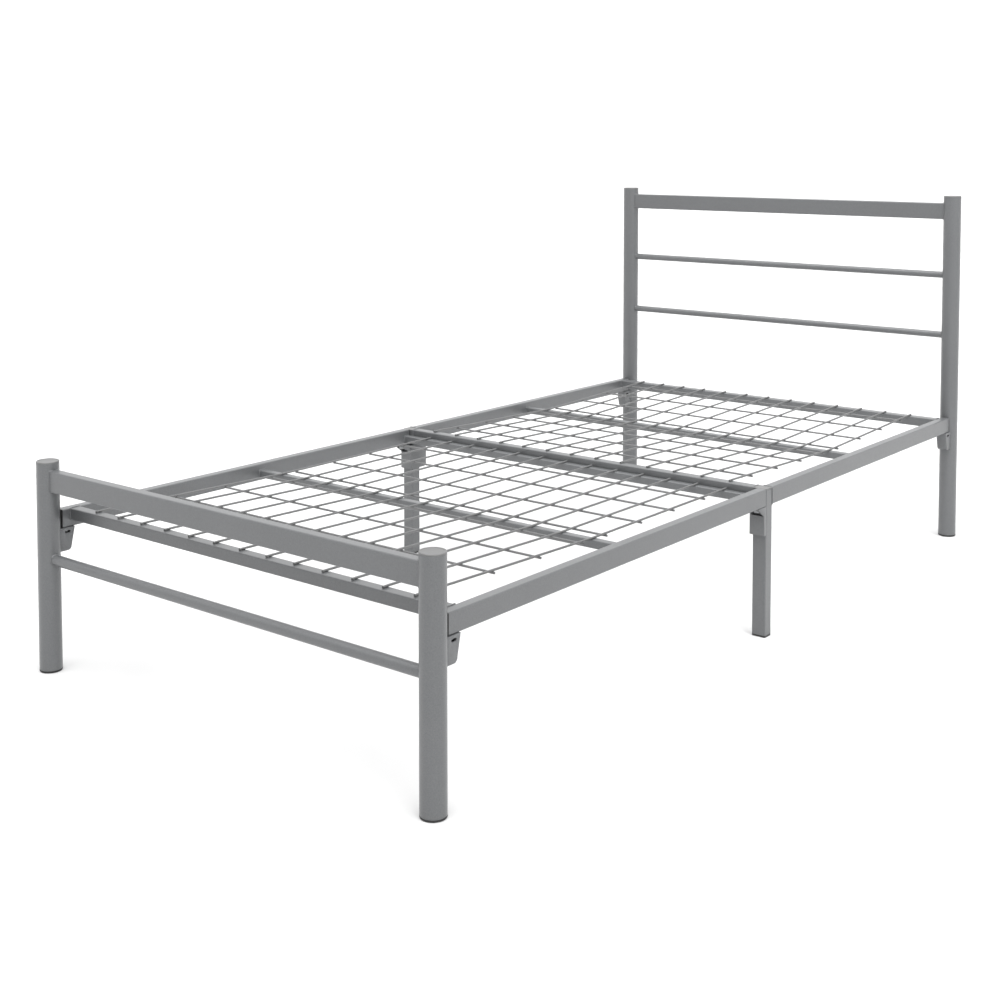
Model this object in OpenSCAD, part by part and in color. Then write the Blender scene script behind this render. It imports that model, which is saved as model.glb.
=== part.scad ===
// Single metal bed frame. Two welded end frames carry a base that splits across the middle:
// each half has two side rails, three cross rails and a welded wire mesh, and the joint
// between the halves stands on two square legs.
// Origin: on the floor, at the middle of the frame. +X right, +Y headboard, +Z up. Millimetres.

/* [Overall] */
// Distance between the left and right post axes
post_span_x = 950; // [780:1:1200]
// Distance between the foot and head post axes
post_span_y = 1950; // [1600:1:2400]
// Height of the side rails' top above the floor
rail_top_z = 300; // [240:1:360]

// How far the joint of the two halves lies from the middle, towards the headboard
joint_y = 25; // [-60:1:60]

/* [Posts] */
// Outer diameter of the post tube
post_d = 42; // [34:0.5:52]
// Wall of the post tube
post_wall = 1.5; // [1:0.1:3]
// Overall height of a foot post
foot_post_h = 396; // [360:1:520]
// Overall height of a head post
head_post_h = 850; // [700:1:1100]
// Height of the cap's rim on top of a post
cap_rim_h = 3; // [2:0.5:6]
// Height of the glide's rim under a post
glide_rim_h = 4; // [2:0.5:8]
// Length of a plug inside its tube
plug_len = 16; // [8:1:30]
// Rounding of a cap's upper edge
cap_round = 1.5; // [0.5:0.1:2]

/* [Headboard] */
// Height of the headboard's top rail section
head_rail_h = 40; // [30:1:60]
// Depth of the headboard's top rail section
head_rail_w = 20; // [15:1:30]
// How far the head posts rise above the top rail
head_post_rise = 18; // [8:1:40]
// Drop from the top rail's underside to the upper bar's axis
upper_bar_drop = 139; // [80:1:160]
// Distance between the two bars' axes
head_bar_pitch = 150; // [90:1:170]
// Diameter of the headboard's round bars
head_bar_d = 16; // [12:0.5:22]

/* [Footboard] */
// Height of the footboard's top rail section
foot_rail_h = 40; // [30:1:48]
// Depth of the footboard's top rail section
foot_rail_w = 20; // [15:1:30]
// How far the foot posts rise above the top rail
foot_post_rise = 16; // [8:1:30]
// Height of the lower bar's axis above the floor
foot_bar_z = 212; // [120:1:260]
// Diameter of the footboard's round bar
foot_bar_d = 20; // [14:0.5:26]

/* [Rails] */
// Height of the side rail section
side_rail_h = 35; // [30:1:50]
// Width of the side rail section
side_rail_w = 20; // [18:1:24]
// Wall of every rectangular tube and bar
rail_wall = 1.5; // [1:0.1:2.5]
// Outer corner radius of the rectangular tubes
tube_round = 2.5; // [1.6:0.1:4]
// Clearance between a post's surface and the plug in a side rail's end
post_gap = 1; // [0.5:0.5:6]
// Clearance between a foot half's rail and the centre leg
split_gap = 1.5; // [0.5:0.1:4]
// Side of the square section of the end rails and of the head half's centre rail
cross_rail = 22; // [16:1:28]
// Side of the square section of the mid rails and of the foot half's centre rail
low_rail = 16; // [12:1:24]
// Drop from the side rails' top to the top of the mid rails and the foot half's centre rail
low_rail_drop = 13; // [6:1:14]
// How far the foot half's mid rail lies from the middle of its half, towards the headboard
foot_mid_shift = 6; // [-30:1:30]
// Distance from the post axes to the near face of an end cross rail
end_rail_inset = 40; // [30:1:80]

/* [Wire mesh] */
// Wire diameter
wire_d = 4.2; // [2.5:0.1:5.5]
// Distance between the lengthwise wires
long_pitch = 66; // [40:1:100]
// Least distance between two crosswise wires
cross_pitch = 100; // [60:1:160]
// Distance from a mid rail's axis to the crosswise wires beside it
mid_wire_gap = 36; // [20:1:60]
// Least distance from a lengthwise wire's axis to a side rail
wire_side_gap = 60; // [20:1:90]
// Distance from an end rail to the crosswise wire beside it
end_wire_gap = 50; // [10:1:90]
// Distance from a centre rail to the crosswise wire beside it
centre_wire_gap = 75; // [10:1:90]
// How far the crosswise wires stick out past the outermost wire
wire_stub = 4; // [2.8:0.1:15]
// How far a lengthwise wire laps onto its end rail
wire_lap = 14; // [4:0.5:16]
// Depth of the weld where two wires cross
weld_sink = 0.05; // [0:0.05:0.15]

/* [Centre legs] */
// Leg section across the bed
leg_x = 30; // [24:1:40]
// Leg section along the bed
leg_y = 25; // [23:1:40]
// Height of the cap on top of a leg
leg_cap_h = 2; // [1:0.5:4]
// Height of the glide's rim under a leg
leg_glide_h = 4; // [2:0.5:8]

/* [Brackets] */
// Sheet thickness of the brackets
sheet = 2.5; // [2:0.1:4]
// Width of a corner bracket
bracket_w = 24; // [21:0.5:30]
// Height of a corner bracket below the rail
bracket_h = 43; // [36:1:60]
// Space in a corner bracket between the washer and the bracket's front web
bracket_play = 2.5; // [2:0.5:6]
// How much shorter a corner bracket is at its lower end
bracket_taper = 7.5; // [0:0.5:9]
// Radius of a corner bracket's lower corner
bracket_round = 8; // [3:0.5:12]
// Length of the slot in a bracket's cheek
slot_len = 12; // [8:0.5:14]
// Width of the slot in a bracket's cheek
slot_w = 5; // [3:0.5:7]
// Depth of the slot's axis below the rail
slot_drop = 7.5; // [7:0.5:12]
// Distance from the post's surface to the slot's axis
slot_inset = 12; // [10:0.5:14]
// Length of a leg bracket's shelf
leg_bracket_len = 30; // [28:1:50]
// Height of a leg bracket
leg_bracket_h = 58; // [30:1:70]
// Depth of a leg bracket's front plate below the flare
leg_cheek = 8; // [6:0.5:14]
// Height over which the cheeks flare out to the shelf's length
leg_flare = 16; // [8:1:24]
// How far a leg bracket's wing reaches past the leg towards the head
wing_head = 20; // [1:1:32]
// Cut of the wing's lower corner
wing_cut = 6; // [1:0.5:12]

/* [Fasteners] */
// Thread diameter of the bolts
bolt_d = 8; // [6:1:8]
// Length of a bolt below its head
bolt_len = 20; // [16:1:26]
// Width of a bolt's head and of a nut across flats
hex_af = 13; // [10:0.5:13]
// Height of a bolt's head
bolt_head_h = 5.3; // [4:0.1:6]
// Height of a nut
nut_h = 6.5; // [5:0.1:7]
// Diameter of a washer
washer_d = 16; // [12:0.5:17]
// Thickness of a washer
washer_t = 1.6; // [1:0.1:2]
// Clearance between a leg bolt's washer and the bracket's cheek
washer_play = 0.3; // [0.1:0.1:1]
// Radial clearance of a bolt in its hole
bolt_clear = 0.5; // [0.2:0.1:1]
// Space along the rail between a corner nut and the rail's end plug
nut_play = 1; // [0.5:0.5:4]
// Distance from the leg's face to its bolt
leg_bolt_inset = 16; // [14:1:24]

/* [Plugs] */
// Clearance between a plug and its tube's inner wall
plug_clear = 0.1; // [0.05:0.05:0.3]
// Thickness of the rim of a side rail's end plug
rail_plug_rim = 2; // [1:0.5:3]
// Length of a side rail's end plug inside the tube
rail_plug_len = 4; // [3:0.5:9]

/* [Hidden] */
$fn = 48;

steel = [0.56, 0.57, 0.58];
steel_wire = [0.50, 0.51, 0.52];
cap_grey = [0.62, 0.63, 0.64];
glide_black = [0.06, 0.06, 0.065];
zinc = [0.72, 0.72, 0.70];
cut = 1; // how far a cutting shape runs past what it cuts

left = -1;
right = 1;
foot = -1;
head = 1;

post_x = post_span_x / 2;
post_y = post_span_y / 2;
post_r = post_d / 2;
rail_bottom_z = rail_top_z - side_rail_h;
rail_inner_x = post_x - side_rail_w / 2;
rail_end_y = post_y - post_r - post_gap - rail_plug_rim; // the tube's end beside a post
leg_foot_y = joint_y - leg_y / 2;              // the leg's faces towards the foot and the head
leg_head_y = joint_y + leg_y / 2;
split_y = leg_foot_y - split_gap;              // where the foot half ends
leg_axis_x = post_x + side_rail_w / 2 - leg_x / 2;

// Cross rails: end and head centre ones are level with the side rails' top, the others
// lie below it.
high_rail_z = rail_top_z - cross_rail / 2;
low_rail_z = rail_top_z - low_rail_drop - low_rail / 2;
foot_end_y = -post_y + end_rail_inset + cross_rail / 2;
head_end_y = post_y - end_rail_inset - cross_rail / 2;
foot_centre_y = split_y - low_rail / 2;
head_centre_y = joint_y;
foot_mid_y = (foot_end_y + foot_centre_y) / 2 + foot_mid_shift;
head_mid_y = (head_end_y + head_centre_y) / 2;

head_rail_axis_z = head_post_h - head_post_rise - head_rail_h / 2;
upper_bar_z = head_rail_axis_z - head_rail_h / 2 - upper_bar_drop;
lower_bar_z = upper_bar_z - head_bar_pitch;
foot_rail_axis_z = foot_post_h - foot_post_rise - foot_rail_h / 2;

// Height of the lengthwise wires' axes where they lie on the high and on the low rails
wire_r = wire_d / 2;
high_wire_z = rail_top_z + wire_r;
low_wire_z = rail_top_z - low_rail_drop + wire_r;
half_rail = cross_rail / 2;
half_low = low_rail / 2;

// Each half's wire runs flat over its rails and straight from one to the next: [y, z] points.
foot_wire = [
    [foot_end_y + half_rail - wire_lap, high_wire_z], [foot_end_y + half_rail, high_wire_z],
    [foot_mid_y - half_low, low_wire_z], [foot_centre_y - half_low + wire_lap, low_wire_z]
];
head_wire = [
    [head_centre_y + half_rail - wire_lap, high_wire_z], [head_centre_y + half_rail, high_wire_z],
    [head_mid_y - half_low, low_wire_z], [head_mid_y + half_low, low_wire_z],
    [head_end_y - half_rail, high_wire_z], [head_end_y - half_rail + wire_lap, high_wire_z]
];
wires_each_side = floor((rail_inner_x - wire_side_gap) / long_pitch);
wire_xs = [for (i = [-wires_each_side:wires_each_side]) i * long_pitch];

corner_bolt_y = rail_end_y - rail_plug_len - nut_play - hex_af / 2;
bracket_reach = post_y - corner_bolt_y + washer_d / 2 + bracket_play + sheet; // from the post's axis
leg_bolt_y = leg_foot_y - leg_bolt_inset;
// A leg bolt stands under the rail's axis, or as near to it as its washer fits between the cheeks.
leg_bolt_x = min(post_x, leg_axis_x + leg_x / 2 - sheet - washer_d / 2 - washer_play);
hex_r = hex_af / 2 / cos(30);

// ---- shared shapes ----

// A rounded rectangle, centred, from squares and circles so that its corners stay round.
module rounded_rect(w, h, r) {
    square([w - 2 * r, h], center = true);
    square([w, h - 2 * r], center = true);
    for (sx = [-1, 1], sy = [-1, 1])
        translate([sx * (w / 2 - r), sy * (h / 2 - r)]) circle(r);
}

// The section of a rectangular tube.
module tube_section(w, h, wall) {
    difference() {
        rounded_rect(w, h, tube_round);
        rounded_rect(w - 2 * wall, h - 2 * wall, max(tube_round - wall, 0.2));
    }
}

// A rectangular tube along X, centred on the origin: depth is along Y, height along Z.
module tube_along_x(length, depth, height) {
    rotate([90, 0, 90]) linear_extrude(length, center = true) tube_section(depth, height, rail_wall);
}

// A rectangular tube along Y from y0 to y1, centred on the Y axis.
module tube_along_y(y0, y1, width, height) {
    translate([0, y1, 0]) rotate([90, 0, 0])
        linear_extrude(y1 - y0) tube_section(width, height, rail_wall);
}

// The space that two posts' outer surfaces take up, for coping rails and bars to them.
module post_pair_space(end) {
    for (side = [left, right])
        translate([side * post_x, end * post_y, 0]) cylinder(h = head_post_h, r = post_r);
}

// A round bar between two posts, hollow, coped to them.
module round_bar(end, z, d) {
    difference() {
        translate([0, end * post_y, z]) rotate([0, 90, 0]) difference() {
            cylinder(h = post_span_x, d = d, center = true);
            cylinder(h = post_span_x + 2 * cut, d = d - 2 * rail_wall, center = true);
        }
        post_pair_space(end);
    }
}

// A rectangular rail between two posts, coped to them.
module end_top_rail(end, z, depth, height) {
    difference() {
        translate([0, end * post_y, z]) tube_along_x(post_span_x, depth, height);
        post_pair_space(end);
    }
}

// ---- posts, caps and glides ----

module post(side, end, height) {
    color(steel) translate([side * post_x, end * post_y, glide_rim_h]) difference() {
        cylinder(h = height - glide_rim_h - cap_rim_h, r = post_r);
        translate([0, 0, -cut])
            cylinder(h = height - glide_rim_h - cap_rim_h + 2 * cut, r = post_r - post_wall);
    }
}

// A cap: a rim as wide as the post with a rounded upper edge, on a cupped plug inside the tube.
module post_cap(side, end, height) {
    plug_r = post_r - post_wall - plug_clear;
    color(cap_grey) translate([side * post_x, end * post_y, height - cap_rim_h]) {
        rotate_extrude() {
            square([post_r - cap_round, cap_rim_h]);
            square([post_r, cap_rim_h - cap_round]);
            intersection() {
                translate([post_r - cap_round, cap_rim_h - cap_round]) circle(cap_round);
                translate([post_r - cap_round, 0]) square([cap_round + cut, cap_rim_h + cut]);
            }
        }
        translate([0, 0, -plug_len]) difference() {
            cylinder(h = plug_len, r = plug_r);
            translate([0, 0, -cut]) cylinder(h = plug_len, r = plug_r - post_wall);
        }
    }
}

// A glide: a foot as wide as the post with a chamfered sole, on a cupped plug inside the tube.
module post_glide(side, end) {
    plug_r = post_r - post_wall - plug_clear;
    sole_cut = glide_rim_h / 4;
    color(glide_black) translate([side * post_x, end * post_y, 0]) {
        rotate_extrude() polygon([
            [0, 0], [post_r - sole_cut, 0], [post_r, sole_cut], [post_r, glide_rim_h], [0, glide_rim_h]
        ]);
        translate([0, 0, glide_rim_h]) difference() {
            cylinder(h = plug_len, r = plug_r);
            translate([0, 0, cut]) cylinder(h = plug_len, r = plug_r - post_wall);
        }
    }
}

// ---- end frames ----

module headboard_top_rail() {
    color(steel) end_top_rail(head, head_rail_axis_z, head_rail_w, head_rail_h);
}

module headboard_upper_bar() {
    color(steel) round_bar(head, upper_bar_z, head_bar_d);
}

module headboard_lower_bar() {
    color(steel) round_bar(head, lower_bar_z, head_bar_d);
}

module footboard_top_rail() {
    color(steel) end_top_rail(foot, foot_rail_axis_z, foot_rail_w, foot_rail_h);
}

module footboard_lower_bar() {
    color(steel) round_bar(foot, foot_bar_z, foot_bar_d);
}

// ---- base ----

// A bolt hole through the underside of a side rail, x off the rail's axis.
module rail_bolt_hole(y, x = 0) {
    translate([x, y, -side_rail_h / 2 - cut])
        cylinder(h = rail_wall + 2 * cut, r = bolt_d / 2 + bolt_clear);
}

module foot_side_rail(side) {
    color(steel) translate([side * post_x, 0, rail_top_z - side_rail_h / 2]) difference() {
        tube_along_y(-rail_end_y, split_y, side_rail_w, side_rail_h);
        rail_bolt_hole(-corner_bolt_y);
        rail_bolt_hole(leg_bolt_y, side * (leg_bolt_x - post_x));
    }
}

module head_side_rail(side) {
    color(steel) translate([side * post_x, 0, rail_top_z - side_rail_h / 2]) difference() {
        tube_along_y(leg_head_y, rail_end_y, side_rail_w, side_rail_h);
        rail_bolt_hole(corner_bolt_y);
    }
}

// A square cross rail of one side, centred at y and z, whose ends meet faces at +-reach.
module cross_rail_at(y, z, section, reach) {
    color(steel) translate([0, y, z]) tube_along_x(2 * reach, section, section);
}

// ---- wire mesh ----

// Direction of a path's length i, as an angle from +Y towards +Z.
function heading(path, i) = atan2(path[i + 1][1] - path[i][1], path[i + 1][0] - path[i][0]);

// What lies beyond a bend at point i of a wire's path, before it or after it.
module beyond_bend(path, i, after) {
    if (i > 0 && i < len(path) - 1)
        translate([0, path[i][0], path[i][1]]) rotate([(heading(path, i - 1) + heading(path, i)) / 2, 0, 0])
            translate([-wire_d, after ? 0 : -2 * wire_d, -wire_d]) cube(2 * wire_d);
}

// One lengthwise wire at x: straight lengths, mitred where its points say.
module long_wire(x, path) {
    translate([x, 0, 0]) union() for (i = [0:len(path) - 2]) {
        before = i > 0 ? wire_r : 0;
        after = i < len(path) - 2 ? wire_r : 0;
        difference() {
            translate([0, path[i][0], path[i][1]]) rotate([heading(path, i) - 90, 0, 0])
                translate([0, 0, -before])
                    cylinder(h = norm(path[i + 1] - path[i]) + before + after, r = wire_r);
            beyond_bend(path, i, false);
            beyond_bend(path, i + 1, true);
        }
    }
}

module mesh_long_wires(path) {
    color(steel_wire) for (x = wire_xs) long_wire(x, path);
}

// Where the crosswise wires lie between a mid rail and the rail at a length from it, which keeps
// the last wire a gap away: evenly spread, as many as their least distance lets in.
function cross_wire_steps(length, gap) =
    let(span = length - mid_wire_gap - gap, spaces = max(1, floor(span / cross_pitch)))
    [for (k = [0:spaces]) mid_wire_gap + k * span / spaces];

// The crosswise wires hang under the lengthwise ones, either side of mid: from the rail at y0
// to the rail at y1, each of which keeps its own gap to them.
module mesh_cross_wires(path, y0, gap0, mid, y1, gap1) {
    reach = wires_each_side * long_pitch + wire_stub;
    ys = concat(
        [for (s = cross_wire_steps(mid - y0, gap0)) mid - s],
        [for (s = cross_wire_steps(y1 - mid, gap1)) mid + s]
    );
    color(steel_wire) for (y = ys)
        translate([0, y, lookup(y, path) - wire_d + weld_sink]) rotate([0, 90, 0])
            cylinder(h = 2 * reach, r = wire_r, center = true);
}

// ---- centre legs ----

module centre_leg(side) {
    color(steel) translate([side * leg_axis_x, joint_y, leg_glide_h])
        linear_extrude(rail_top_z - leg_cap_h - leg_glide_h) tube_section(leg_x, leg_y, rail_wall);
}

module leg_plug(length) {
    inner_x = leg_x - 2 * (rail_wall + plug_clear);
    inner_y = leg_y - 2 * (rail_wall + plug_clear);
    inner_r = max(tube_round - rail_wall - plug_clear, 0.2);
    difference() {
        linear_extrude(length) rounded_rect(inner_x, inner_y, inner_r);
        translate([0, 0, cut]) linear_extrude(length)
            rounded_rect(inner_x - 2 * rail_wall, inner_y - 2 * rail_wall, inner_r);
    }
}

module leg_cap(side) {
    color(cap_grey) translate([side * leg_axis_x, joint_y, rail_top_z - leg_cap_h]) {
        linear_extrude(leg_cap_h) rounded_rect(leg_x, leg_y, tube_round);
        mirror([0, 0, 1]) leg_plug(plug_len);
    }
}

module leg_glide(side) {
    color(glide_black) translate([side * leg_axis_x, joint_y, 0]) {
        linear_extrude(leg_glide_h) rounded_rect(leg_x, leg_y, tube_round);
        translate([0, 0, leg_glide_h]) leg_plug(plug_len);
    }
}

// ---- brackets ----

// The outline of a corner bracket's cheek: first axis outwards from the post's axis, second up.
module cheek_outline() {
    low_reach = bracket_reach - bracket_taper;
    difference() {
        polygon([
            [0, 0], [bracket_reach, 0], [low_reach, bracket_round - bracket_h], [low_reach, -bracket_h],
            [0, -bracket_h]
        ]);
        difference() {
            translate([low_reach - bracket_round, -bracket_h - cut]) square(bracket_round + cut);
            translate([low_reach - bracket_round, bracket_round - bracket_h]) circle(bracket_round);
        }
    }
}

// The slot in a cheek, as an outline.
module slot_outline() {
    straight = (slot_len - slot_w) / 2;
    translate([post_r + slot_inset, -slot_drop]) {
        square([2 * straight, slot_w], center = true);
        for (s = [-1, 1]) translate([s * straight, 0]) circle(slot_w / 2);
    }
}

// What is hollow in a corner bracket, as an outline: everything between the shelf and the web.
module pocket_outline() {
    low_reach = bracket_reach - bracket_taper;
    polygon([
        [-cut, -sheet], [bracket_reach - sheet, -sheet], [low_reach - sheet, bracket_round - bracket_h],
        [low_reach - sheet, -bracket_h - cut], [-cut, -bracket_h - cut]
    ]);
}

// A corner bracket: a folded pocket, open below, welded to a post, with its shelf under the rail.
module corner_bracket(side, end) {
    inner_w = bracket_w - 2 * sheet;
    color(steel) translate([side * post_x, end * post_y, rail_bottom_z])
        mirror([0, end == head ? 1 : 0, 0]) difference() {
            rotate([90, 0, 90]) linear_extrude(bracket_w, center = true) cheek_outline();
            rotate([90, 0, 90]) linear_extrude(inner_w, center = true) pocket_outline();
            rotate([90, 0, 90]) linear_extrude(bracket_w + 2 * cut, center = true) slot_outline();
            translate([0, post_y - corner_bolt_y, -sheet - cut])
                cylinder(h = sheet + 2 * cut, r = bolt_d / 2 + bolt_clear);
            translate([0, 0, -bracket_h - cut]) cylinder(h = bracket_h + 2 * cut, r = post_r);
        }
}

// A leg bracket: a box on the leg's foot side whose cheeks flare out at the top to carry a
// shelf under the rail, with a wing along the leg's inner face.
module leg_bracket(side) {
    inner_w = leg_x - 2 * sheet;
    wing_span = leg_y + wing_head;
    color(steel) translate([side * leg_axis_x, leg_foot_y, rail_bottom_z]) {
        mirror([0, 1, 0]) difference() {
            rotate([90, 0, 90]) linear_extrude(leg_x, center = true) polygon([
                [0, 0], [leg_bracket_len, 0], [leg_bracket_len, -sheet], [leg_cheek, -sheet - leg_flare],
                [leg_cheek, -leg_bracket_h], [0, -leg_bracket_h]
            ]);
            translate([-inner_w / 2, sheet, -sheet - leg_flare])
                cube([inner_w, leg_bracket_len, leg_flare]);
            translate([-inner_w / 2, sheet, -leg_bracket_h - cut])
                cube([inner_w, leg_cheek - 2 * sheet, leg_bracket_h + cut - sheet]);
            translate([side * (leg_bolt_x - leg_axis_x), leg_bolt_inset, -sheet - cut])
                cylinder(h = sheet + 2 * cut, r = bolt_d / 2 + bolt_clear);
        }
        translate([-side * (leg_x + sheet) / 2, -leg_cheek, 0])
            rotate([90, 0, 90]) linear_extrude(sheet, center = true) polygon([
                [0, 0], [leg_cheek + wing_span, 0], [leg_cheek + wing_span, wing_cut - leg_bracket_h],
                [leg_cheek + wing_span - wing_cut, -leg_bracket_h], [0, -leg_bracket_h]
            ]);
    }
}

// ---- fasteners ----

module hex_prism(h) {
    cylinder(h = h, r = hex_r, $fn = 6);
}

// Every place of a corner bolt: the rail's underside is at the origin.
module at_corner_bolts() {
    for (side = [left, right], end = [foot, head])
        translate([side * post_x, end * corner_bolt_y, rail_bottom_z]) children();
}

// Every place of a leg bolt.
module at_leg_bolts() {
    for (side = [left, right]) translate([side * leg_bolt_x, leg_bolt_y, rail_bottom_z]) children();
}

// A bolt that goes up through a bracket's shelf, with its washer under the shelf.
module bolt_up() {
    under_head = -sheet - washer_t;
    color(zinc) {
        translate([0, 0, under_head - bolt_head_h]) hex_prism(bolt_head_h);
        translate([0, 0, under_head]) cylinder(h = bolt_len, r = bolt_d / 2);
    }
}

module washer_up() {
    color(zinc) translate([0, 0, -sheet - washer_t]) difference() {
        cylinder(h = washer_t, d = washer_d);
        translate([0, 0, -cut]) cylinder(h = washer_t + 2 * cut, r = bolt_d / 2 + bolt_clear / 2);
    }
}

// The nut stands on the inside of the rail's lower wall.
module rail_nut() {
    color(zinc) translate([0, 0, rail_wall]) difference() {
        hex_prism(nut_h);
        translate([0, 0, -cut]) cylinder(h = nut_h + 2 * cut, r = bolt_d / 2);
    }
}

// End plugs of the side rails beside the posts.
module rail_end_plugs() {
    color(glide_black) for (side = [left, right], end = [foot, head])
        translate([side * post_x, end * rail_end_y, rail_top_z - side_rail_h / 2])
            rotate([end * -90, 0, 0]) {
                linear_extrude(rail_plug_rim) rounded_rect(side_rail_w, side_rail_h, tube_round);
                translate([0, 0, -rail_plug_len]) linear_extrude(rail_plug_len) rounded_rect(
                    side_rail_w - 2 * (rail_wall + plug_clear), side_rail_h - 2 * (rail_wall + plug_clear),
                    max(tube_round - rail_wall - plug_clear, 0.2));
            }
}

// ---- the assembly ----

post(left, head, head_post_h);  // head_post_left
post(right, head, head_post_h);  // head_post_right
post(left, foot, foot_post_h);  // foot_post_left
post(right, foot, foot_post_h);  // foot_post_right
post_cap(left, head, head_post_h);  // head_post_cap_left
post_cap(right, head, head_post_h);  // head_post_cap_right
post_cap(left, foot, foot_post_h);  // foot_post_cap_left
post_cap(right, foot, foot_post_h);  // foot_post_cap_right
post_glide(left, head);  // head_glide_left
post_glide(right, head);  // head_glide_right
post_glide(left, foot);  // foot_glide_left
post_glide(right, foot);  // foot_glide_right
headboard_top_rail();
headboard_upper_bar();
headboard_lower_bar();
footboard_top_rail();
footboard_lower_bar();
foot_side_rail(left);  // foot_side_rail_left
foot_side_rail(right);  // foot_side_rail_right
head_side_rail(left);  // head_side_rail_left
head_side_rail(right);  // head_side_rail_right
cross_rail_at(foot_end_y, high_rail_z, cross_rail, rail_inner_x);  // foot_end_cross_rail
cross_rail_at(foot_mid_y, low_rail_z, low_rail, rail_inner_x);  // foot_mid_cross_rail
cross_rail_at(foot_centre_y, low_rail_z, low_rail, rail_inner_x);  // foot_centre_cross_rail
cross_rail_at(head_centre_y, high_rail_z, cross_rail, leg_axis_x - leg_x / 2);  // head_centre_cross_rail
cross_rail_at(head_mid_y, low_rail_z, low_rail, rail_inner_x);  // head_mid_cross_rail
cross_rail_at(head_end_y, high_rail_z, cross_rail, rail_inner_x);  // head_end_cross_rail
centre_leg(left);  // centre_leg_left
centre_leg(right);  // centre_leg_right
leg_cap(left);  // leg_cap_left
leg_cap(right);  // leg_cap_right
leg_glide(left);  // leg_glide_left
leg_glide(right);  // leg_glide_right
corner_bracket(left, head);  // head_bracket_left
corner_bracket(right, head);  // head_bracket_right
corner_bracket(left, foot);  // foot_bracket_left
corner_bracket(right, foot);  // foot_bracket_right
leg_bracket(left);  // leg_bracket_left
leg_bracket(right);  // leg_bracket_right
at_corner_bolts() bolt_up();  // corner_bolts
at_corner_bolts() washer_up();  // corner_washers
at_corner_bolts() rail_nut();  // corner_rail_nuts
at_leg_bolts() bolt_up();  // leg_bolts
at_leg_bolts() washer_up();  // leg_washers
at_leg_bolts() rail_nut();  // leg_rail_nuts
rail_end_plugs();
mesh_long_wires(foot_wire);  // foot_mesh_long_wires
mesh_cross_wires(  // foot_mesh_cross_wires
    foot_wire, foot_end_y + half_rail, end_wire_gap, foot_mid_y, foot_centre_y - half_low, centre_wire_gap);
mesh_long_wires(head_wire);  // head_mesh_long_wires
mesh_cross_wires(  // head_mesh_cross_wires
    head_wire, head_centre_y + half_rail, centre_wire_gap, head_mid_y, head_end_y - half_rail, end_wire_gap);
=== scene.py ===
import math

import bmesh
import bpy
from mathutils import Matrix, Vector


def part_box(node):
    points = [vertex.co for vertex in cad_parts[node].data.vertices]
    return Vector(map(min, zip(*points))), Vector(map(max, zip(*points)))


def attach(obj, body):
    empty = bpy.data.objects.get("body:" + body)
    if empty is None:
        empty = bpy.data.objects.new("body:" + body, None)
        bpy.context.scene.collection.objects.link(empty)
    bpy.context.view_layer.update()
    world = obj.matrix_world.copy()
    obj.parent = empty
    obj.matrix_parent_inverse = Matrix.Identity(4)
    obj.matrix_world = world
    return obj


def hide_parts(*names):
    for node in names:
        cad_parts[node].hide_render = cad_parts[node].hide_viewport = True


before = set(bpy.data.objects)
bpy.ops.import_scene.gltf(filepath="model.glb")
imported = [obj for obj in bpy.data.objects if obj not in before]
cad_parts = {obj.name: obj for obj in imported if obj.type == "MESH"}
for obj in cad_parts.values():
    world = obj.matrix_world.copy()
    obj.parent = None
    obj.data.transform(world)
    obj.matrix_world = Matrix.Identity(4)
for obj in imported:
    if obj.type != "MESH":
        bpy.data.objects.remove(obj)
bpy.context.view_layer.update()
scene = bpy.context.scene
print("frame loaded:", len(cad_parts), "nodes")


# small tools for node trees

class Flow:  # an output socket that can be reckoned with
    def __init__(self, maker, socket):
        self.maker = maker
        self.socket = socket

    def __getitem__(self, name):  # another output of the same node
        return Flow(self.maker, self.socket.node.outputs[name])

    def combine(self, operation, first, second):
        return self.maker.add("ShaderNodeMath", {"operation": operation}, {0: first, 1: second})

    def __add__(self, other):
        return self.combine("ADD", self, other)

    def __radd__(self, other):
        return self.combine("ADD", other, self)

    def __sub__(self, other):
        return self.combine("SUBTRACT", self, other)

    def __rsub__(self, other):
        return self.combine("SUBTRACT", other, self)

    def __mul__(self, other):
        return self.combine("MULTIPLY", self, other)


class Maker:
    def __init__(self, tree):
        self.tree = tree

    def add(self, kind, settings=None, sockets=None):
        node = self.tree.nodes.new(kind)
        for key, value in (settings or {}).items():
            setattr(node, key, value)
        for key, value in (sockets or {}).items():
            if isinstance(value, Flow):
                self.tree.links.new(value.socket, node.inputs[key])
            else:
                node.inputs[key].default_value = value
        return Flow(self, node.outputs[0]) if node.outputs else node

    def blend(self, factor, first, second):  # a colour mix
        mix = self.add("ShaderNodeMix", {"data_type": "RGBA", "clamp_factor": True},
                       {0: factor, 6: first, 7: second})
        return Flow(self, mix.socket.node.outputs[2])


def grey(value, warm=0.0):
    return (value * (1 + warm), value, value * (1 - warm), 1.0)


# finishes

def newMaterial(name):  # an empty node tree and the object's own coordinates in it
    material = bpy.data.materials.new(name)
    material.use_nodes = True
    material.node_tree.nodes.clear()
    m = Maker(material.node_tree)
    return material, m, m.add("ShaderNodeTexCoord")["Object"]


def noise(m, place, scale, detail, roughness=0.5):
    return m.add("ShaderNodeTexNoise", None,
                 {"Vector": place, "Scale": scale, "Detail": detail, "Roughness": roughness})["Fac"]


def bumpFrom(m, height, strength, distance):
    return m.add("ShaderNodeBump", None, {"Strength": strength, "Distance": distance, "Height": height})


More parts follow.
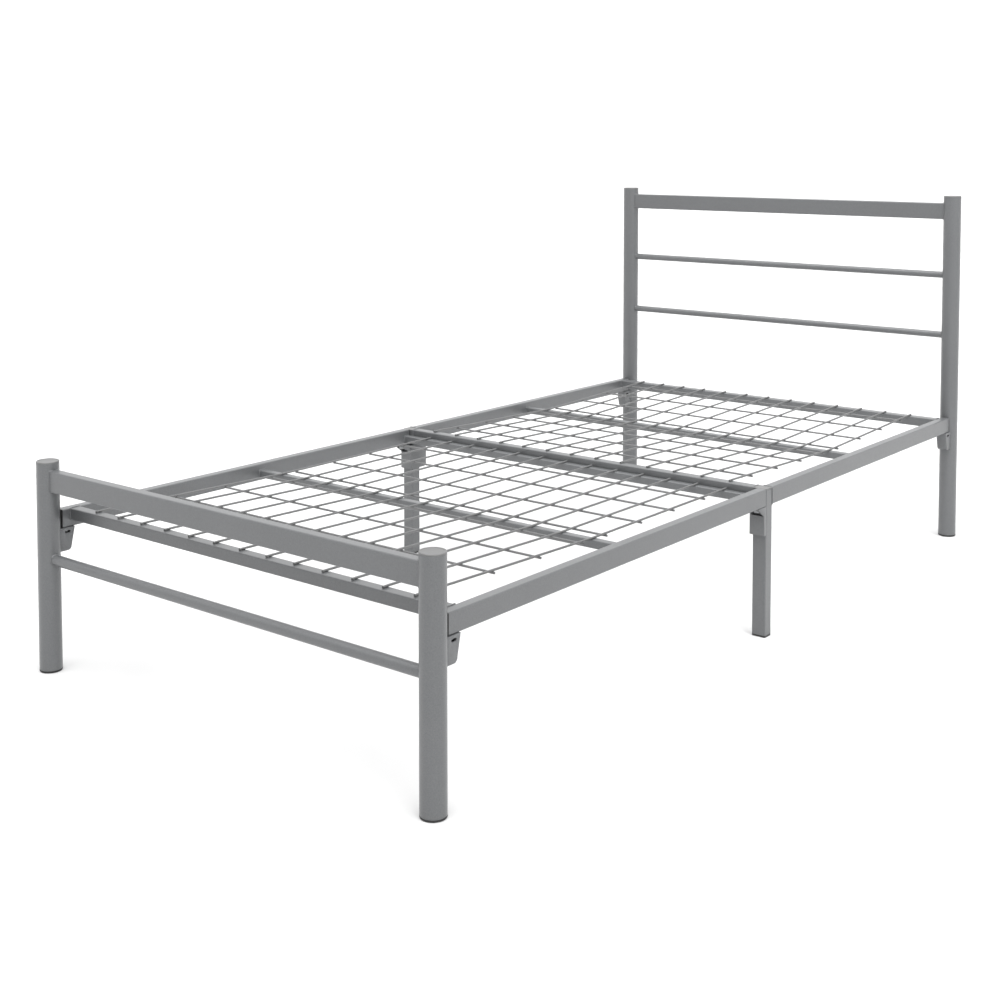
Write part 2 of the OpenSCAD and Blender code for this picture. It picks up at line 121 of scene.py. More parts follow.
def coatedSteel(name, look):  # powder coat with fine flake, orange peel and handling marks
    material, m, place = newMaterial(name)
    flake = m.add("ShaderNodeTexVoronoi", {"feature": "F1"}, {"Vector": place, "Scale": look["flakeScale"]})
    flakeTone = m.add("ShaderNodeSeparateColor", None, {0: flake["Color"]})["Red"]
    cloud = noise(m, place, look["cloudScale"], 3.0)
    grain = noise(m, place, look["grainScale"], 4.0)
    peel = noise(m, place, look["peelScale"], 1.0)
    stretch = m.add("ShaderNodeMapping", None, {"Vector": place, "Scale": look["rubStretch"]})
    rub = noise(m, stretch, look["rubScale"], 5.0)
    cloudy = (cloud - 0.5) * look["cloudDepth"]
    grainy = (grain - 0.5) * look["grainDepth"]
    tone = cloudy + grainy + (flakeTone - 0.5) * look["flakeDepth"] + 0.5
    colour = m.blend(tone, look["dark"], look["light"])
    rough = look["roughness"] + (grain - 0.5) * look["grainGloss"] + (rub - 0.5) * look["rubGloss"]
    height = peel * look["peelHeight"] + grain * look["grainHeight"] + flakeTone * look["flakeHeight"]
    shader = m.add("ShaderNodeBsdfPrincipled", None, {
        "Base Color": colour, "Roughness": rough, "Metallic": look["metallic"],
        "Normal": bumpFrom(m, height, look["bump"], look["bumpDepth"]),
        "Coat Weight": look["coat"], "Coat Roughness": look["coatRoughness"]})
    m.add("ShaderNodeOutputMaterial", None, {"Surface": shader})
    return material


def mouldedPlastic(name, look):  # fine spark-eroded texture with scuffs
    material, m, place = newMaterial(name)
    spark = noise(m, place, look["sparkScale"], 3.0)
    dust = noise(m, place, look["dustScale"], 6.0, 0.7)
    scuff = m.add("ShaderNodeTexVoronoi", {"feature": "DISTANCE_TO_EDGE"},
                  {"Vector": place, "Scale": look["scuffScale"]})
    wear = (dust - 0.5) * look["dustDepth"] + (spark - 0.5) * look["sparkDepth"] + look["wear"]
    colour = m.blend(wear, look["dark"], look["light"])
    rough = look["roughness"] + (dust - 0.5) * look["dustGloss"]
    height = spark + scuff["Distance"] * look["scuffHeight"]
    shader = m.add("ShaderNodeBsdfPrincipled", None, {
        "Base Color": colour, "Roughness": rough, "Specular IOR Level": look["specular"],
        "Normal": bumpFrom(m, height, look["bump"], look["bumpDepth"])})
    m.add("ShaderNodeOutputMaterial", None, {"Surface": shader})
    return material


def zincPlate(name, look):  # zinc with a faint straw and blue cast, its colour kept dark as painted shade for bolts that sit in shadow
    material, m, place = newMaterial(name)
    cast = noise(m, place, look["castScale"], 2.0)
    turned = noise(m, place, look["turnedScale"], 2.0)
    colour = m.blend(cast, look["straw"], look["blue"])
    rough = look["roughness"] + (turned - 0.5) * look["turnedGloss"]
    shader = m.add("ShaderNodeBsdfPrincipled", None, {
        "Base Color": colour, "Roughness": rough, "Metallic": 1.0,
        "Normal": bumpFrom(m, turned, look["bump"], look["bumpDepth"])})
    m.add("ShaderNodeOutputMaterial", None, {"Surface": shader})
    return material


silverLook = {
    "dark": grey(0.098, -0.03), "light": grey(0.158, -0.03), "metallic": 0.25, "roughness": 0.4,
    "coat": 0.42, "coatRoughness": 0.25, "bump": 0.22, "bumpDepth": 0.0004,
    "flakeScale": 2400.0, "flakeDepth": 0.5, "flakeHeight": 0.08,
    "cloudScale": 5.0, "cloudDepth": 0.35,
    "grainScale": 420.0, "grainDepth": 0.8, "grainGloss": 0.12, "grainHeight": 0.25,
    "peelScale": 260.0, "peelHeight": 0.8,
    "rubStretch": (40.0, 40.0, 6.0), "rubScale": 3.0, "rubGloss": 0.1}
wireLook = dict(silverLook, dark=grey(0.1, -0.01), light=grey(0.16, -0.01), roughness=0.45)
plasticLook = {"dustScale": 60.0, "dustGloss": 0.2, "scuffScale": 90.0, "scuffHeight": 0.3, "wear": 0.4,
               "specular": 0.4, "bumpDepth": 0.0002}
capLook = dict(plasticLook, dark=grey(0.14), light=grey(0.2), sparkScale=1500.0, sparkDepth=0.4,
               dustDepth=0.3, roughness=0.5, bump=0.25)
blackLook = dict(plasticLook, dark=grey(0.012), light=grey(0.035), sparkScale=1300.0, sparkDepth=0.5,
                 dustDepth=0.5, roughness=0.55, bump=0.35)
# straw and blue are set low: painted shade for the bolt heads in the shadowed slots under the rails
zincLook = {"straw": (0.30, 0.29, 0.25, 1.0), "blue": (0.24, 0.26, 0.29, 1.0), "roughness": 0.36,
            "castScale": 160.0, "turnedScale": 1800.0, "turnedGloss": 0.25, "bump": 0.15,
            "bumpDepth": 0.0001}

silverCoat = coatedSteel("silverCoat", silverLook)
wireCoat = coatedSteel("wireCoat", wireLook)
capPlastic = mouldedPlastic("capPlastic", capLook)
blackPlastic = mouldedPlastic("blackPlastic", blackLook)
zinc = zincPlate("zinc", zincLook)


# mesh tools

def place(name, mesh, material, *standsFor):  # a finished mesh becomes a piece on the frame
    mesh.materials.clear()
    mesh.materials.append(material)
    piece = bpy.data.objects.new(name, mesh)
    scene.collection.objects.link(piece)
    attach(piece, "root")
    if standsFor:
        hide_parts(*standsFor)
    return piece


def closedMesh(name, points, faces, sharpDegrees=32.0):
    mesh = bpy.data.meshes.new(name)
    mesh.from_pydata([tuple(p) for p in points], [], faces)
    bm = bmesh.new()
    bm.from_mesh(mesh)
    bmesh.ops.remove_doubles(bm, verts=bm.verts, dist=1e-6)
    bmesh.ops.recalc_face_normals(bm, faces=bm.faces)
    bm.to_mesh(mesh)
    bm.free()
    mesh.shade_smooth()
    mesh.set_sharp_from_angle(angle=math.radians(sharpDegrees))
    return mesh


def steadyShade(piece):  # keeps flat faces flat beside rounded corners
    weighted = piece.modifiers.new("steadyShade", "WEIGHTED_NORMAL")
    weighted.keep_sharp = True
    weighted.weight = 80
    return piece


def lathe(name, profile, axis, sides=96):  # (radius, height) pairs; a closed ring if off the axis
    points = []
    faces = []
    count = len(profile)
    for side in range(sides):
        turn = 2 * math.pi * side / sides
        for radius, height in profile:
            points.append((axis.x + radius * math.cos(turn), axis.y + radius * math.sin(turn), height))
    toAxis = profile[0][0] < 1e-7
    for side in range(sides):
        a = side * count
        b = ((side + 1) % sides) * count
        for i in range(count - 1 if toAxis else count):
            j = (i + 1) % count
            quad = [a + i, b + i, b + j, a + j]
            if profile[i][0] < 1e-7:
                quad = [a + i, b + j, a + j]
            if profile[j][0] < 1e-7:
                quad = [a + i, b + i, a + j]
            faces.append(quad)
    return closedMesh(name, points, faces)


def arc(centre, radius, start, end, steps):  # points of a round edge in a profile
    return [(centre[0] + radius * math.cos(math.radians(start + (end - start) * i / steps)),
             centre[1] + radius * math.sin(math.radians(start + (end - start) * i / steps)))
            for i in range(steps + 1)]


def roundedSection(width, height, radius, steps=5):  # counter-clockwise, centred
    points = []
    for cornerX, cornerY, start in ((1, 1, 0), (-1, 1, 90), (-1, -1, 180), (1, -1, 270)):
        centre = (cornerX * (width / 2 - radius), cornerY * (height / 2 - radius))
        points += arc(centre, radius, start, start + 90, steps)
    return points


def roundSection(radius, steps=48):
    return [(radius * math.cos(2 * math.pi * i / steps), radius * math.sin(2 * math.pi * i / steps))
            for i in range(steps)]


def loft(name, rings):  # a closed skin over rings of equal length
    points = [p for ring in rings for p in ring]
    count = len(rings[0])
    faces = [list(range(count))[::-1], [len(points) - count + i for i in range(count)]]
    for r in range(len(rings) - 1):
        for i in range(count):
            j = (i + 1) % count
            faces.append([r * count + i, r * count + j, (r + 1) * count + j, (r + 1) * count + i])
    return closedMesh(name, points, faces)


def measure(node):
    low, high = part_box(node)
    return (low + high) / 2, high - low


def copied(name, node, roundness, segments=2):  # a CAD shape with its sharp folds eased
    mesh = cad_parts[node].data.copy()
    mesh.name = name
    bm = bmesh.new()
    bm.from_mesh(mesh)
    bmesh.ops.remove_doubles(bm, verts=bm.verts, dist=2e-6)
    bmesh.ops.dissolve_limit(bm, angle_limit=math.radians(1.5), verts=bm.verts, edges=bm.edges)
    edges = [e for e in bm.edges if len(e.link_faces) == 2 and e.calc_face_angle() > math.radians(35)]
    bmesh.ops.bevel(bm, geom=edges, offset=roundness, segments=segments, profile=0.5, affect="EDGES",
                    clamp_overlap=True)
    bmesh.ops.triangulate(bm, faces=[f for f in bm.faces if len(f.verts) > 4])
    bm.to_mesh(mesh)
    bm.free()
    mesh.shade_smooth()
    mesh.set_sharp_from_angle(angle=math.radians(40))
    return mesh


# posts, caps and glides

postLook = {"sides": 96, "wall": 0.0015, "edge": 0.0004, "lengths": 12}
capShape = {"round": 0.0014, "dish": 0.0007, "dishInset": 0.0038, "dishFoot": 0.001, "dishStep": 0.0001,
            "lip": 0.0006, "lipInset": 0.0009}
plugShape = {"capLine": 0.0004, "glideLine": 0.0005, "lineDepth": 0.0006, "play": 0.0002, "length": 0.012}
glideShape = {"chamfer": 0.0012, "low": 0.3, "high": 1.4}
sides = ("left", "right")
ends = ("foot", "head")


def camel(*words):
    parts = "_".join(words).split("_")
    return parts[0] + "".join(w.capitalize() for w in parts[1:])


postRadius = measure("foot_post_left")[1].x / 2
plugRadius = postRadius - postLook["wall"] - plugShape["play"]


def makePost(node, axis):
    low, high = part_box(node)
    edge = postLook["edge"]
    inner = postRadius - postLook["wall"]
    steps = postLook["lengths"]
    profile = [(inner, low.z), (postRadius - edge, low.z), (postRadius, low.z + edge)]
    profile += [(postRadius, low.z + (high.z - low.z) * k / steps) for k in range(1, steps)]
    profile += [(postRadius, high.z - edge), (postRadius - edge, high.z), (inner, high.z)]
    steadyShade(place(camel(node), lathe(node, profile, axis, postLook["sides"]), silverCoat, node))


def makeCap(node, axis, rim):  # a shallow dish inside a round lip, over a plug
    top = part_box(node)[1].z
    soft = capShape["round"]
    lip = capShape["lip"]
    dish = top - capShape["dish"]
    inner = postRadius - capShape["dishInset"]
    profile = [(0.0, dish), (inner - capShape["dishFoot"], dish), (inner, dish + capShape["dishStep"])]
    profile += arc((inner + capShape["lipInset"], top - lip), lip, 180, 90, 4)
    profile += arc((postRadius - soft, top - soft), soft, 90, 0, 6)
    profile += [(postRadius, rim + plugShape["capLine"]), (postRadius - plugShape["lineDepth"], rim),
                (plugRadius, rim), (plugRadius, rim - plugShape["length"]),
                (0.0, rim - plugShape["length"])]
    place(camel(node), lathe(node, profile, axis, postLook["sides"]), capPlastic, node)


def makeGlide(node, axis, rim):
    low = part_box(node)[0].z
    bevel = glideShape["chamfer"]
    profile = [(0.0, low), (postRadius - 2 * bevel, low),
               (postRadius - bevel, low + glideShape["low"] * bevel),
               (postRadius, low + glideShape["high"] * bevel), (postRadius, rim - plugShape["glideLine"]),
               (postRadius - plugShape["lineDepth"], rim), (plugRadius, rim),
               (plugRadius, rim + plugShape["length"]), (0.0, rim + plugShape["length"])]
    place(camel(node), lathe(node, profile, axis, postLook["sides"]), blackPlastic, node)


for end in ends:
    for side in sides:
        post = end + "_post_" + side
        axis = measure(post)[0]
        postLow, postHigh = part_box(post)
        makePost(post, axis)
        makeCap(end + "_post_cap_" + side, axis, postHigh.z)
        makeGlide(end + "_glide_" + side, axis, postLow.z)
print("posts, caps and glides made")


# rails and bars of the two end frames

endRailLook = {"corner": 0.0028, "cornerSteps": 5, "lengths": 12}


def betweenPosts(name, node, section, end):  # a section of (depth, height) points, coped to both posts
    centre = measure(node)[0]
    postX = measure(end + "_post_right")[0].x
    rings = []
    steps = endRailLook["lengths"]
    for k in range(steps + 1):
        ring = []
        for depth, height in section:
            reach = postX - math.sqrt(postRadius ** 2 - depth ** 2)
            ring.append((-reach + 2 * reach * k / steps, centre.y + depth, centre.z + height))
        rings.append(ring)
    return steadyShade(place(name, loft(name, rings), silverCoat, node))


endCorner = endRailLook["corner"]
for node, end in (("headboard_top_rail", "head"), ("footboard_top_rail", "foot")):
    size = measure(node)[1]
    section = roundedSection(size.y, size.z, endCorner, endRailLook["cornerSteps"])
    betweenPosts(camel(node), node, section, end)
for node, end in (("headboard_upper_bar", "head"), ("headboard_lower_bar", "head"),
                  ("footboard_lower_bar", "foot")):
    size = measure(node)[1]
    betweenPosts(camel(node), node, roundSection(size.z / 2), end)
print("end frames made")


# side rails, cross rails and legs

railLook = {"corner": 0.0025, "cornerSteps": 5, "lengths": 10, "plugEase": 0.0006}


def boxTube(name, node, along, material=silverCoat):  # a rounded box between the node's two ends
    centre, size = measure(node)
    low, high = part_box(node)
    rings = []
    corner = railLook["corner"]
    steps = railLook["lengths"]
    for k in range(steps + 1):
        t = k / steps
        if along == "x":
            ring = [(low.x + size.x * t, centre.y + u, centre.z + v)
                    for u, v in roundedSection(size.y, size.z, corner, railLook["cornerSteps"])]
        elif along == "y":
            ring = [(centre.x + u, low.y + size.y * t, centre.z + v)
                    for u, v in roundedSection(size.x, size.z, corner, railLook["cornerSteps"])]
        else:
            ring = [(centre.x + u, centre.y + v, low.z + size.z * t)
                    for u, v in roundedSection(size.x, size.y, corner, railLook["cornerSteps"])]
        rings.append(ring)
    return steadyShade(place(name, loft(name, rings), material, node))


for end in ends:
    for side in sides:
        boxTube(camel(end, "side_rail", side), end + "_side_rail_" + side, "y")
    for spot in ("end", "mid", "centre"):
        boxTube(camel(end, spot, "cross_rail"), end + "_" + spot + "_cross_rail", "x")
for side in sides:
    boxTube(camel("centre_leg", side), "centre_leg_" + side, "z")


def boxPlug(name, node, plateLow, plateHigh, material):  # a plate with eased edges over a tube's end
    centre, size = measure(node)
    corner = railLook["corner"]
    ease = railLook["plugEase"]
    rings = []
    levels = ((ease, plateLow), (0.0, plateLow + ease), (0.0, plateHigh - ease), (ease, plateHigh))
    for shrink, height in levels:
        rings.append([(centre.x + u, centre.y + v, height)
                      for u, v in roundedSection(size.x - 2 * shrink, size.y - 2 * shrink, corner)])
    return steadyShade(place(name, loft(name, rings), material, node))


for side in sides:
    legLow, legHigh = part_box("centre_leg_" + side)
    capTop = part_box("leg_cap_" + side)[1].z
    boxPlug(camel("leg_cap", side), "leg_cap_" + side, legHigh.z, capTop, capPlastic)
    boxPlug(camel("leg_glide", side), "leg_glide_" + side, 0.0, legLow.z, blackPlastic)
print("rails and legs made")


# brackets and fasteners

easeLook = {"bracket": 0.0005, "fastener": 0.0002, "plug": 0.0004}
for end in ends:
    for side in sides:
        node = end + "_bracket_" + side
        place(camel(node), copied(node, node, easeLook["bracket"]), silverCoat, node)
for side in sides:
    node = "leg_bracket_" + side
    place(camel(node), copied(node, node, easeLook["bracket"]), silverCoat, node)
for spot in ("corner", "leg"):
    for kind in ("bolts", "washers", "rail_nuts"):
        node = spot + "_" + kind
        place(camel(node), copied(node, node, easeLook["fastener"]), zinc, node)
plugMesh = copied("railEndPlugs", "rail_end_plugs", easeLook["plug"])
place("railEndPlugs", plugMesh, blackPlastic, "rail_end_plugs")
print("brackets and fasteners made")


# wire mesh

wireShape = {"sides": 12, "bendSteps": 4, "bendReach": 0.006, "longPitch": 0.066, "crossPitch": 0.1,
             "midGap": 0.036, "endGap": 0.05, "centreGap": 0.075, "sink": 0.00005}
nuggetShape = {"segments": 8, "rings": 5, "wide": 1.45, "spread": 0.25, "seed": 7, "turn": 6.28,
               "lift": 0.0004}
beadShape = {"radius": 0.0016, "spacing": 0.0018, "sides": 8, "ripple": 0.0009, "rippleScale": 420.0}


def newTree(name, inputs):  # an empty geometry tree with named inputs beside its geometry
    tree = bpy.data.node_groups.new(name, "GeometryNodeTree")
    tree.interface.new_socket("Geometry", in_out="INPUT", socket_type="NodeSocketGeometry")
    for inputName, kind in inputs:
        tree.interface.new_socket(inputName, in_out="INPUT", socket_type="NodeSocket" + kind)
    tree.interface.new_socket("Geometry", in_out="OUTPUT", socket_type="NodeSocketGeometry")
    m = Maker(tree)
    return tree, m, m.add("NodeGroupInput")


def finishTree(m, geometry, material):
    whole = m.add("GeometryNodeRealizeInstances", None, {0: geometry})
    painted = m.add("GeometryNodeSetMaterial", None, {"Geometry": whole, "Material": material})
    m.add("NodeGroupOutput", None, {0: painted})


def wireTree():  # sweeps the object's own lines as round wires, repeated along one step
    tree, m, given = newTree("wireRow", (("Count", "Int"), ("Step", "Vector"), ("Wire Radius", "Float"),
                                         ("Sides", "Int"), ("Material", "Material")))
    row = m.add("GeometryNodeMeshLine", {"mode": "OFFSET"},
                {"Count": given["Count"], "Offset": given["Step"]})
    copies = m.add("GeometryNodeInstanceOnPoints", None, {"Points": row, "Instance": given["Geometry"]})
    loose = m.add("GeometryNodeRealizeInstances", None, {0: copies})
    lines = m.add("GeometryNodeMeshToCurve", None, {0: loose})
    ring = m.add("GeometryNodeCurvePrimitiveCircle", None,
                 {"Resolution": given["Sides"], "Radius": given["Wire Radius"]})
    swept = m.add("GeometryNodeCurveToMesh", None,
                  {"Curve": lines, "Profile Curve": ring, "Fill Caps": True})
    finishTree(m, swept, given["Material"])
    return tree


def nuggetTree():  # a squashed blob of weld on every point, each turned and sized differently
    tree, m, given = newTree("weldNuggets", (
        ("Radius", "Float"), ("Spread", "Float"), ("Seed", "Int"), ("Segments", "Int"), ("Rings", "Int"),
        ("Material", "Material")))
    ball = m.add("GeometryNodeMeshUVSphere", None,
                 {"Segments": given["Segments"], "Rings": given["Rings"], "Radius": given["Radius"]})
    size = m.add("FunctionNodeRandomValue", {"data_type": "FLOAT"},
                 {2: 1.0 - given["Spread"], 3: 1.0 + given["Spread"], "Seed": given["Seed"]})
    sizeValue = Flow(m, size.socket.node.outputs[1])
    squash = m.add("ShaderNodeCombineXYZ", None, {0: sizeValue, 1: sizeValue, 2: sizeValue * 0.8})
    turn = m.add("FunctionNodeRandomValue", {"data_type": "FLOAT"},
                 {2: 0.0, 3: nuggetShape["turn"], "Seed": given["Seed"]})
    spin = m.add("ShaderNodeCombineXYZ", None, {2: Flow(m, turn.socket.node.outputs[1])})
    blobs = m.add("GeometryNodeInstanceOnPoints", None,
                  {"Points": given["Geometry"], "Instance": ball, "Rotation": spin, "Scale": squash})
    finishTree(m, blobs, given["Material"])
    return tree


def beadTree():  # a rippled weld bead along the object's own closed lines
    tree, m, given = newTree("weldBead", (("Radius", "Float"), ("Spacing", "Float"), ("Sides", "Int"),
                                          ("Ripple", "Float"), ("Ripple Scale", "Float"),
                                          ("Material", "Material")))
    lines = m.add("GeometryNodeMeshToCurve", None, {0: given["Geometry"]})
    even = m.add("GeometryNodeResampleCurve", {"mode": "LENGTH"},
                 {"Curve": lines, "Length": given["Spacing"]})
    ring = m.add("GeometryNodeCurvePrimitiveCircle", None,
                 {"Resolution": given["Sides"], "Radius": given["Radius"]})
    swept = m.add("GeometryNodeCurveToMesh", None, {"Curve": even, "Profile Curve": ring})
    ripples = m.add("ShaderNodeTexNoise", None, {"Scale": given["Ripple Scale"], "Detail": 1.0})
    lift = (ripples - 0.5) * given["Ripple"]
    push = m.add("ShaderNodeVectorMath", {"operation": "SCALE"},
                 {0: m.add("GeometryNodeInputNormal"), "Scale": lift})
    rippled = m.add("GeometryNodeSetPosition", None, {"Geometry": swept, "Offset": push})
    finishTree(m, rippled, given["Material"])
    return tree


def grow(name, tree, points, edges, values):  # runs a tree on lines or points and keeps the plain mesh
    base = bpy.data.meshes.new(name + "Base")
    base.from_pydata(points, edges, [])
    holder = bpy.data.objects.new(name + "Base", base)
    scene.collection.objects.link(holder)
    modifier = holder.modifiers.new("grow", "NODES")
    modifier.node_group = tree
    for item in tree.interface.items_tree:
        if item.in_out == "INPUT" and item.name in values:
            modifier[item.identifier] = values[item.name]
    holder.update_tag()
    depsgraph = bpy.context.evaluated_depsgraph_get()
    mesh = bpy.data.meshes.new_from_object(holder.evaluated_get(depsgraph), depsgraph=depsgraph)
    holder.modifiers.remove(modifier)
    bpy.data.objects.remove(holder)
    mesh.name = name
    mesh.shade_smooth()
    mesh.set_sharp_from_angle(angle=math.radians(50))
    return mesh


def bentPath(corners):  # (y, z) corners with each bend eased over a few points
    path = [corners[0]]
    for before, here, after in zip(corners, corners[1:], corners[2:]):
        reach = wireShape["bendReach"]
        start = here + (before - here).normalized() * reach
        end = here + (after - here).normalized() * reach
        for k in range(wireShape["bendSteps"] + 1):
            t = k / wireShape["bendSteps"]
            path.append(start * (1 - t) ** 2 + here * (2 * t * (1 - t)) + end * t ** 2)
    return path + [corners[-1]]


def heightAt(path, y):  # height of a path of (y, z) points over y
    for a, b in zip(path, path[1:]):
        if a.x <= y <= b.x:
            return a.y + (b.y - a.y) * (y - a.x) / (b.x - a.x)
    return path[-1].y


def crossSteps(length, gap):  # how far from the mid rail each crosswise wire lies
    span = length - wireShape["midGap"] - gap
    spaces = max(1, math.floor(span / wireShape["crossPitch"]))
    return [wireShape["midGap"] + k * span / spaces for k in range(spaces + 1)]


def lineEdges(points):
    return [(i, i + 1) for i in range(len(points) - 1)]


wireRows = wireTree()
nuggets = nuggetTree()
for end in ends:
    longNode = end + "_mesh_long_wires"
    crossNode = end + "_mesh_cross_wires"
    low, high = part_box(longNode)
    count = round((high.x - low.x) / wireShape["longPitch"]) + 1
    radius = (high.x - low.x - (count - 1) * wireShape["longPitch"]) / 2
    firstX = low.x + radius
    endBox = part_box(end + "_end_cross_rail")
    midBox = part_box(end + "_mid_cross_rail")
    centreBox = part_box(end + "_centre_cross_rail")
    upper = endBox[1].z + radius
    lower = midBox[1].z + radius
    if end == "foot":
        corners = [(low.y, upper), (endBox[1].y, upper), (midBox[0].y, lower), (high.y, lower)]
    else:
        corners = [(low.y, upper), (centreBox[1].y, upper), (midBox[0].y, lower), (midBox[1].y, lower),
                   (endBox[0].y, upper), (high.y, upper)]
    corners = [Vector(corner) for corner in corners]
    path = bentPath(corners)
    points = [(firstX, p.x, p.y) for p in path]
    values = {"Count": count, "Step": (wireShape["longPitch"], 0.0, 0.0), "Wire Radius": radius,
              "Sides": wireShape["sides"], "Material": wireCoat}
    mesh = grow(camel(longNode), wireRows, points, lineEdges(points), values)
    place(camel(longNode), mesh, wireCoat, longNode)

    crossLow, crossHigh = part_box(crossNode)
    midY = (midBox[0].y + midBox[1].y) / 2
    if end == "foot":
        crossYs = [midY - step for step in crossSteps(midY - endBox[1].y, wireShape["endGap"])]
        crossYs += [midY + step for step in crossSteps(centreBox[0].y - midY, wireShape["centreGap"])]
    else:
        crossYs = [midY - step for step in crossSteps(midY - centreBox[1].y, wireShape["centreGap"])]
        crossYs += [midY + step for step in crossSteps(endBox[0].y - midY, wireShape["endGap"])]
    points = []
    spots = []
    for y in crossYs:
        z = heightAt(corners, y) - 2 * radius + wireShape["sink"]
        points += [(crossLow.x, y, z), (crossHigh.x, y, z)]
        spots += [(firstX + k * wireShape["longPitch"], y, z + radius) for k in range(count)]
    edges = [(2 * k, 2 * k + 1) for k in range(len(crossYs))]
    values = dict(values, Count=1)
    place(camel(crossNode), grow(camel(crossNode), wireRows, points, edges, values), wireCoat, crossNode)

    for box in (endBox, midBox, centreBox):
        y = min(max((box[0].y + box[1].y) / 2, low.y + radius), high.y - radius)
        top = box[1].z + nuggetShape["lift"]
        spots += [(firstX + k * wireShape["longPitch"], y, top) for k in range(count)]
    values = {"Radius": radius * nuggetShape["wide"] / (1 + nuggetShape["spread"]),
              "Seed": nuggetShape["seed"],
              "Spread": nuggetShape["spread"], "Segments": nuggetShape["segments"],
              "Rings": nuggetShape["rings"], "Material": wireCoat}
    place(end + "WeldNuggets", grow(end + "WeldNuggets", nuggets, spots, [], values), wireCoat)
print("wire mesh made")


# weld beads round the ends of bars and rails

beads = beadTree()


def beadLoops(name, loops):
    points = []
    edges = []
    for loop in loops:
        first = len(points)
        points += loop
        edges += [(first + i, first + (i + 1) % len(loop)) for i in range(len(loop))]
    values = {"Radius": beadShape["radius"], "Spacing": beadShape["spacing"], "Sides": beadShape["sides"],
              "Ripple": beadShape["ripple"], "Ripple Scale": beadShape["rippleScale"],
              "Material": silverCoat}
    return place(name, grow(name, beads, points, edges, values), silverCoat)


def copedLoops(node, section, end):  # the two outlines where a bar or rail meets its posts
    centre = measure(node)[0]
    postX = measure(end + "_post_right")[0].x
    return [[(side * (postX - math.sqrt(postRadius ** 2 - depth ** 2)), centre.y + depth, centre.z + height)
             for depth, height in section] for side in (-1, 1)]


def flatLoops(node):  # the two outlines where a cross rail meets the side rails
    centre, size = measure(node)
    section = roundedSection(size.y, size.z, railLook["corner"])
    return [[(centre.x + side * size.x / 2, centre.y + u, centre.z + v) for u, v in section]
            for side in (-1, 1)]


headLoops = []
for node in ("headboard_upper_bar", "headboard_lower_bar"):
    headLoops += copedLoops(node, roundSection(measure(node)[1].z / 2), "head")
size = measure("headboard_top_rail")[1]
headLoops += copedLoops("headboard_top_rail", roundedSection(size.y, size.z, endCorner), "head")
footLoops = copedLoops("footboard_lower_bar", roundSection(measure("footboard_lower_bar")[1].z / 2), "foot")
size = measure("footboard_top_rail")[1]
footLoops += copedLoops("footboard_top_rail", roundedSection(size.y, size.z, endCorner), "foot")
baseLoops = []
for end in ends:
    for spot in ("end", "mid", "centre"):
        baseLoops += flatLoops(end + "_" + spot + "_cross_rail")
for side in sides:
    centre, size = measure("head_side_rail_" + side)
    baseLoops.append([(centre.x + u, centre.y - size.y / 2, centre.z + v)
                      for u, v in roundedSection(size.x, size.z, railLook["corner"])])
beadLoops("headboardWelds", headLoops)
beadLoops("footboardWelds", footLoops)
beadLoops("baseWelds", baseLoops)
print("weld beads made")


# floor, light and camera

floorLook = {"colour": 0.72, "roughness": 0.9, "specular": 0.1, "reach": 30.0}
floorMesh = bpy.data.meshes.new("floor")
reach = floorLook["reach"]
floorCorners = [(-reach, -reach, 0), (reach, -reach, 0), (reach, reach, 0), (-reach, reach, 0)]
floorMesh.from_pydata(floorCorners, [], [(0, 1, 2, 3)])
floor = bpy.data.objects.new("floor", floorMesh)
scene.collection.objects.link(floor)
floorPaint = bpy.data.materials.new("floorPaint")
floorPaint.use_nodes = True
floorShader = floorPaint.node_tree.nodes["Principled BSDF"]
floorShader.inputs["Base Color"].default_value = grey(floorLook["colour"])
floorShader.inputs["Roughness"].default_value = floorLook["roughness"]
floorShader.inputs["Specular IOR Level"].default_value = floorLook["specular"]
floorMesh.materials.append(floorPaint)

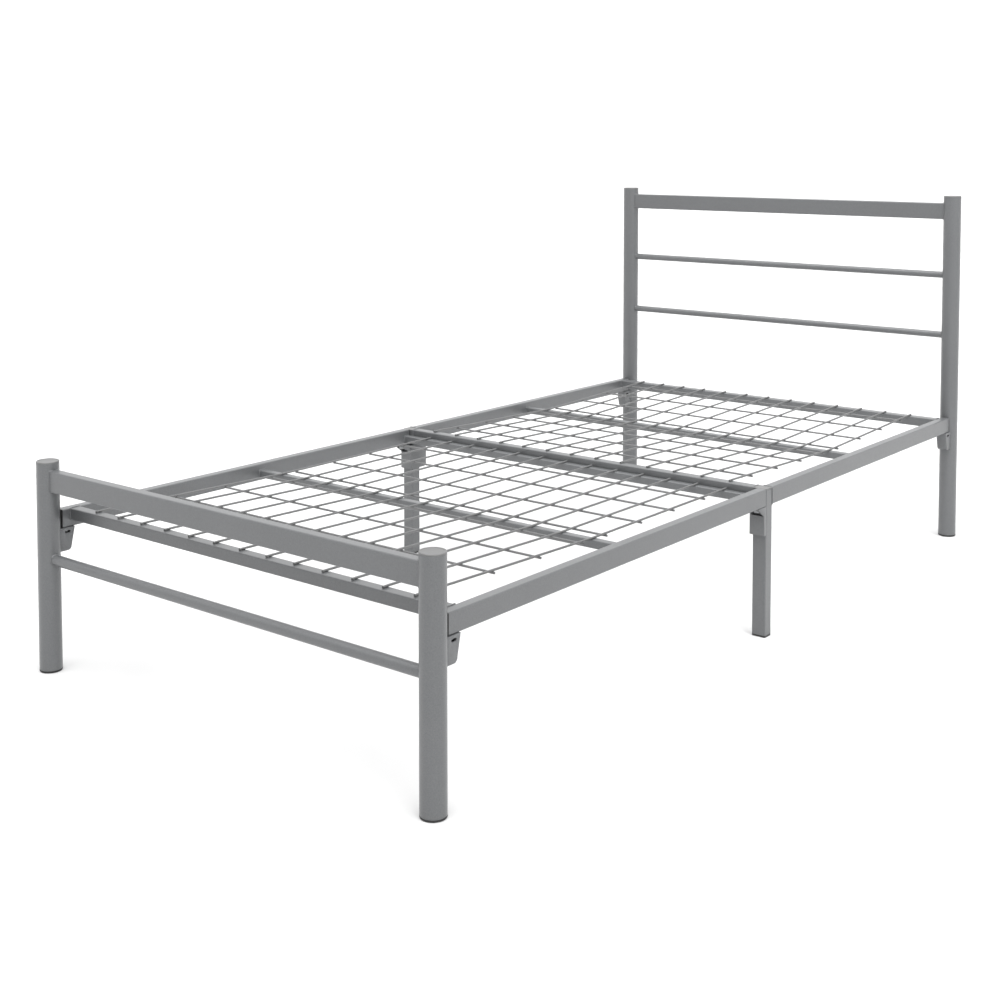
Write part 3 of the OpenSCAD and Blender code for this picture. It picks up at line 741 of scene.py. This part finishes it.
lightLook = {"skySeen": 1.15, "skyGiven": 0.3,
             "overhead": 4.6, "overheadAngle": 80.0, "overheadTilt": (12.0, 40.0),
             "side": 0.7, "sideAngle": 40.0, "sideTilt": (62.0, 75.0)}
world = bpy.data.worlds.new("studio")
scene.world = world
world.use_nodes = True
world.node_tree.nodes.clear()
m = Maker(world.node_tree)
# like a studio's walls: bright to look at and to mirror, dimmer as a light
spread = m.add("ShaderNodeLightPath")["Is Diffuse Ray"]
strength = lightLook["skySeen"] - spread * (lightLook["skySeen"] - lightLook["skyGiven"])
sky = m.add("ShaderNodeBackground", None, {"Color": grey(1.0), "Strength": strength})
m.add("ShaderNodeOutputWorld", None, {"Surface": sky})


def sun(name, strength, angle, tilt):  # tilt as (x, z) turns in degrees
    data = bpy.data.lights.new(name, "SUN")
    data.energy = strength
    data.angle = math.radians(angle)
    lamp = bpy.data.objects.new(name, data)
    lamp.rotation_euler = (math.radians(tilt[0]), 0.0, math.radians(tilt[1]))
    scene.collection.objects.link(lamp)


sun("overhead", lightLook["overhead"], lightLook["overheadAngle"], lightLook["overheadTilt"])
sun("side", lightLook["side"], lightLook["sideAngle"], lightLook["sideTilt"])

panelLook = {"place": (0.75, -0.3, 1.5), "turn": (78.0, 0.0, 12.0), "size": 1.2, "power": 9.0}
panelData = bpy.data.lights.new("panel", "AREA")  # lifts the headboard
panelData.shape = "SQUARE"
panelData.size = panelLook["size"]
panelData.energy = panelLook["power"]
panel = bpy.data.objects.new("panel", panelData)
panel.location = panelLook["place"]
panel.rotation_euler = [math.radians(v) for v in panelLook["turn"]]
panel.visible_camera = False
panel.visible_glossy = False
scene.collection.objects.link(panel)

cameraLook = {"place": (1.857, -2.548, 0.995), "turn": (86.76, 0.0, 38.63), "lens": 52.64, "shift": -0.28}
cameraData = bpy.data.cameras.new("camera")
cameraData.lens = cameraLook["lens"]
cameraData.sensor_width = 36.0
cameraData.shift_y = cameraLook["shift"]
cameraData.clip_start = 0.05
cameraData.clip_end = 100.0
camera = bpy.data.objects.new("camera", cameraData)
camera.location = cameraLook["place"]
camera.rotation_euler = [math.radians(v) for v in cameraLook["turn"]]
scene.collection.objects.link(camera)
scene.camera = camera
scene.view_settings.view_transform = "Standard"
print("floor, light and camera made")
